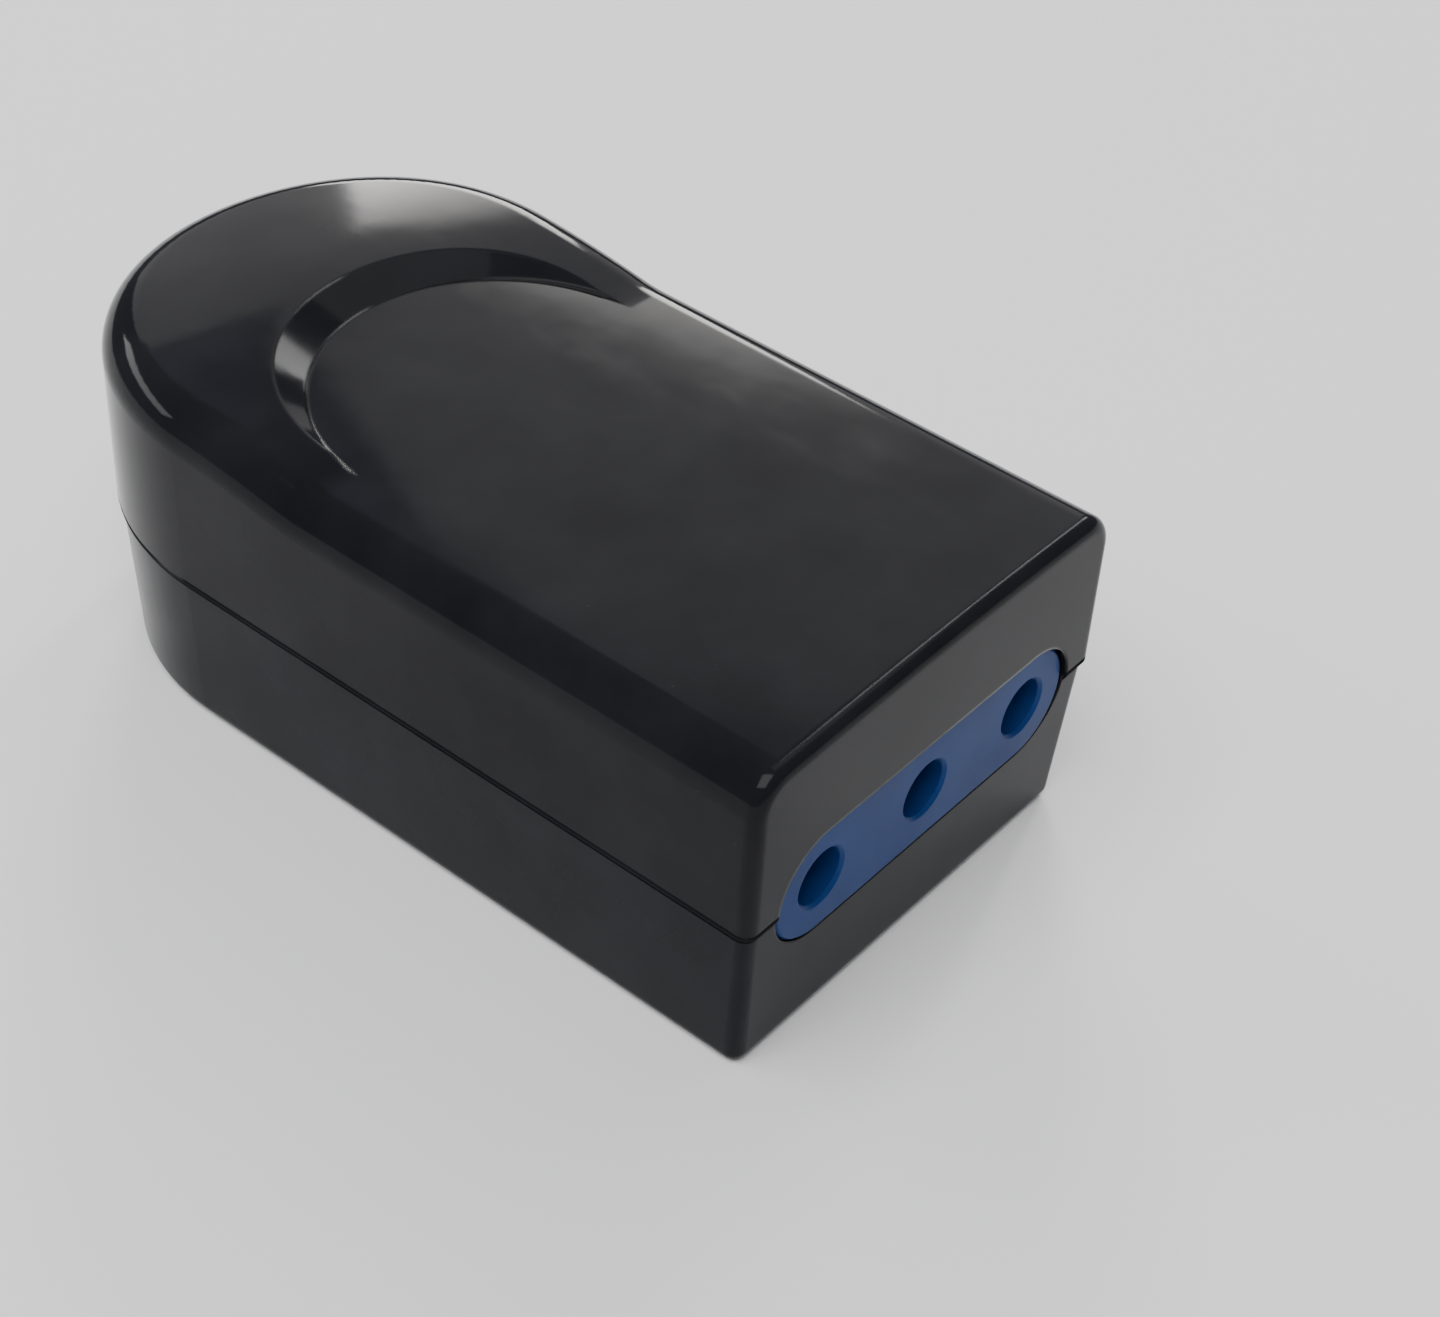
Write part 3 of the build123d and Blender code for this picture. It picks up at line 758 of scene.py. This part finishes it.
def toward(azimuth: float, elevation: float) -> Vector:
    """The unit vector of a direction given in degrees."""
    a, e = math.radians(azimuth), math.radians(elevation)
    return Vector((math.cos(a) * math.cos(e), math.sin(a) * math.cos(e), math.sin(e)))


def set_up(name: str, data: bpy.types.ID, place: Vector, axes: tuple[Vector, Vector, Vector]) -> bpy.types.Object:
    """Puts an object in the scene.

    Args:
        name: object name.
        data: its mesh, light or camera.
        place: where its origin goes.
        axes: its own X, Y and Z.

    Returns:
        The object.
    """
    made = bpy.data.objects.new(name, data)
    bpy.context.scene.collection.objects.link(made)
    made.rotation_mode = "QUATERNION"
    made.rotation_quaternion = Matrix(axes).transposed().to_quaternion()
    made.location = place
    return made


def facing(away: Vector) -> tuple[Vector, Vector, Vector]:
    """Level, rising and backward axes of something that faces the case.

    Args:
        away: the direction in which it stands from the case.

    Returns:
        The three axes.
    """
    across = Vector((0, 0, 1)).cross(away).normalized()
    return across, away.cross(across), away


@dataclass(frozen=True)
class Card:
    """A light card that the case mirrors, placed by the direction in which it is seen from the case.

    Args:
        name: light name.
        azimuth: direction of its middle from +X towards +Y, in degrees.
        elevation: height of its middle above the horizon, in degrees.
        width: width seen from the case, in degrees.
        height: height seen from the case, in degrees.
        radiance: brightness of its face.
        distance: distance from the case, in metres.
    """

    name: str
    azimuth: float
    elevation: float
    width: float
    height: float
    radiance: float
    distance: float = 2.0

    def build(self, centre: Vector) -> bpy.types.Object:
        """Makes the light.

        Args:
            centre: the point that it faces.

        Returns:
            The light's object.
        """
        light = bpy.data.lights.new(self.name, "AREA")
        light.shape = "RECTANGLE"
        light.size = 2 * self.distance * math.tan(math.radians(self.width / 2))
        light.size_y = 2 * self.distance * math.tan(math.radians(self.height / 2))
        light.energy = self.radiance * light.size * light.size_y * math.pi
        away = toward(self.azimuth, self.elevation)
        return set_up(self.name, light, centre + away * self.distance, facing(away))


@dataclass(frozen=True)
class Pane:
    """A glowing pane that the case mirrors, dimmer towards one edge.

    Args:
        name: object name.
        corners: directions of its corners from the case, as azimuth and elevation in degrees.
        radiance: brightness away from the dim edge.
        dim: brightness at the dim edge.
        fade: width of the fade, in degrees.
        slope: rise of the dim edge above level, in degrees.
        colour: tint.
        distance: distance from the case, in metres.
    """

    name: str
    corners: tuple[tuple[float, float], ...]
    radiance: float
    dim: float
    fade: float
    slope: float
    colour: Colour
    distance: float = 2.0

    def glow(self, top: float) -> bpy.types.Material:
        """Makes the pane's material.

        Args:
            top: place of the dim edge along the pane's Y, in metres.

        Returns:
            The material.
        """
        s = Shader(self.name)
        dimmed = self.dim / self.radiance
        band = self.distance * math.radians(self.fade)
        share = s.ramp(top - s.along("Y"), 0.0, band) * (1.0 - dimmed) + dimmed
        return s.surface(
            Base_Color=BLACK,
            Emission_Color=s.colours(BLACK, self.colour, share),
            Emission_Strength=self.radiance,
        )

    def build(self, centre: Vector) -> bpy.types.Object:
        """Makes the pane.

        Args:
            centre: the point that it faces.

        Returns:
            The pane's object.
        """
        rays = [toward(*corner) for corner in self.corners]
        away = sum(rays, Vector()).normalized()
        level = away.cross(Vector((0, 0, 1))).normalized()
        upright = level.cross(away)
        turn = math.radians(self.slope)
        across = level * math.cos(turn) + upright * math.sin(turn)
        rise = upright * math.cos(turn) - level * math.sin(turn)
        spots = [ray * (self.distance / ray.dot(away)) - away * self.distance for ray in rays]
        places = [(spot.dot(across), spot.dot(rise), 0.0) for spot in spots]
        mesh = bpy.data.meshes.new(self.name)
        mesh.from_pydata(places, [], [tuple(range(len(places)))])
        mesh.materials.append(self.glow(max(place[1] for place in places)))
        made = set_up(self.name, mesh, centre + away * self.distance, (across, rise, across.cross(rise)))
        return made


@dataclass(frozen=True)
class Viewpoint:
    """The photograph's camera.

    Args:
        target: point that the angles turn about, in metres.
        azimuth: 0 looks along +Y, and minus turns to the left, in degrees.
        elevation: above the horizon, in degrees.
        roll: turn of the picture, in degrees.
        distance: from the target, in metres.
        slide: sideways and upward place of the target in the picture, in metres.
        focal_pixels: focal length in pixels.
        picture_width: width of the picture in pixels.
        sensor: width of the sensor, in millimetres.
        clip: nearest and farthest distance that it sees, in metres.
    """

    target: tuple[float, float, float] = (0.0, -0.0015, 0.014)
    azimuth: float = -52.48
    elevation: float = 41.013
    roll: float = 3.739
    distance: float = 0.239999
    slide: tuple[float, float] = (-0.014382, 0.00653)
    focal_pixels: float = 2839.169
    picture_width: int = 1440
    sensor: float = 36.0
    clip: tuple[float, float] = (0.01, 50.0)

    def build(self) -> bpy.types.Object:
        """Makes the camera and makes it the scene's.

        Returns:
            The camera's object.
        """
        a, e, r = (math.radians(v) for v in (self.azimuth, self.elevation, self.roll))
        back = Vector((math.sin(a) * math.cos(e), -math.cos(a) * math.cos(e), math.sin(e)))
        level = Vector((math.cos(a), math.sin(a), 0.0))
        rise = back.cross(level)
        right = level * math.cos(r) + rise * math.sin(r)
        up = rise * math.cos(r) - level * math.sin(r)
        data = bpy.data.cameras.new("photo_camera")
        data.sensor_width = self.sensor
        data.lens = self.focal_pixels / self.picture_width * self.sensor
        data.clip_start, data.clip_end = self.clip
        place = Vector(self.target) + back * self.distance - right * self.slide[0] - up * self.slide[1]
        made = set_up("photo_camera", data, place, (right, up, back))
        bpy.context.scene.camera = made
        return made


@dataclass
class Studio:
    """Plain pale floor, soft light, and the cards and panes that the gloss mirrors."""

    centre: Vector = field(default_factory=lambda: Vector((0.0, 0.0, 0.03)))
    floor_size: float = 6.0
    floor_colour: Colour = (0.82, 0.82, 0.82)
    floor_roughness: float = 0.9
    floor_specular: float = 0.1
    surround: Colour = (0.13, 0.135, 0.155)
    cards: tuple[Card, ...] = (
        Card("overhead_softbox", azimuth=-165.0, elevation=64.0, width=50.0, height=36.0, radiance=6.5, distance=1.6),
        Card("edge_strip", azimuth=13.0, elevation=38.0, width=5.0, height=34.0, radiance=13.0),
        Card("step_card", azimuth=-6.0, elevation=66.0, width=30.0, height=34.0, radiance=1.3),
        Card("side_window", azimuth=108.0, elevation=27.0, width=46.0, height=9.0, radiance=7.0),
    )
    panes: tuple[Pane, ...] = (
        Pane(
            name="window",
            corners=((51.5, 14.0), (33.0, 14.0), (30.0, 21.0), (31.0, 32.0), (42.0, 31.8), (47.8, 28.7)),
            radiance=24.0,
            dim=3.5,
            fade=7.5,
            slope=8.0,
            colour=(1.0, 0.98, 0.95),
        ),
        Pane(
            name="far_wall",
            corners=(
                (66.0, 12.0),
                (22.0, 12.0),
                (22.0, 45.5),
                (42.5, 45.5),
                (48.0, 41.5),
                (49.5, 35.5),
                (66.0, 33.5),
            ),
            radiance=1.5,
            dim=1.15,
            fade=7.0,
            slope=0.0,
            colour=(1.0, 0.99, 1.0),
            distance=2.4,
        ),
        Pane(
            name="dusk",
            corners=((62.0, 34.5), (50.5, 36.5), (48.5, 42.0), (44.0, 48.0), (62.0, 48.0)),
            radiance=0.55,
            dim=0.4,
            fade=8.0,
            slope=0.0,
            colour=(0.8, 0.9, 1.35),
            distance=2.5,
        ),
    )

    def floor(self) -> None:
        """Makes the floor that the case rests on."""
        half = self.floor_size / 2
        mesh = bpy.data.meshes.new("floor")
        mesh.from_pydata([(-half, -half, 0), (half, -half, 0), (half, half, 0), (-half, half, 0)], [], [(0, 1, 2, 3)])
        pale = Shader("pale_floor").surface(
            Base_Color=self.floor_colour,
            Roughness=self.floor_roughness,
            Specular_IOR_Level=self.floor_specular,
        )
        mesh.materials.append(pale)
        set_up("floor", mesh, Vector(), tuple(Matrix.Identity(3)))

    def build(self) -> list[str]:
        """Makes the surround, the floor and the lights.

        Returns:
            The lights' names.
        """
        world = bpy.data.worlds.new("surround")
        world.use_nodes = True
        background = world.node_tree.nodes["Background"]
        background.inputs["Color"].default_value = (*self.surround, 1.0)
        background.inputs["Strength"].default_value = 1.0
        bpy.context.scene.world = world
        self.floor()
        lights = (*self.cards, *self.panes)
        for light in lights:
            light.build(self.centre)
        return [light.name for light in lights]


def main() -> None:
    """Builds the scene in order and reports each piece."""
    logging.basicConfig(level=logging.INFO, format="%(name)s: %(message)s")
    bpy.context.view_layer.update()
    Viewpoint().build()
    for part in (Housing(), PinFace(), ContactGear()):
        for name in part.build():
            LOG.info("piece %s", name)
    for name in Studio().build():
        LOG.info("light %s", name)


if __name__ == "__main__":
    main()
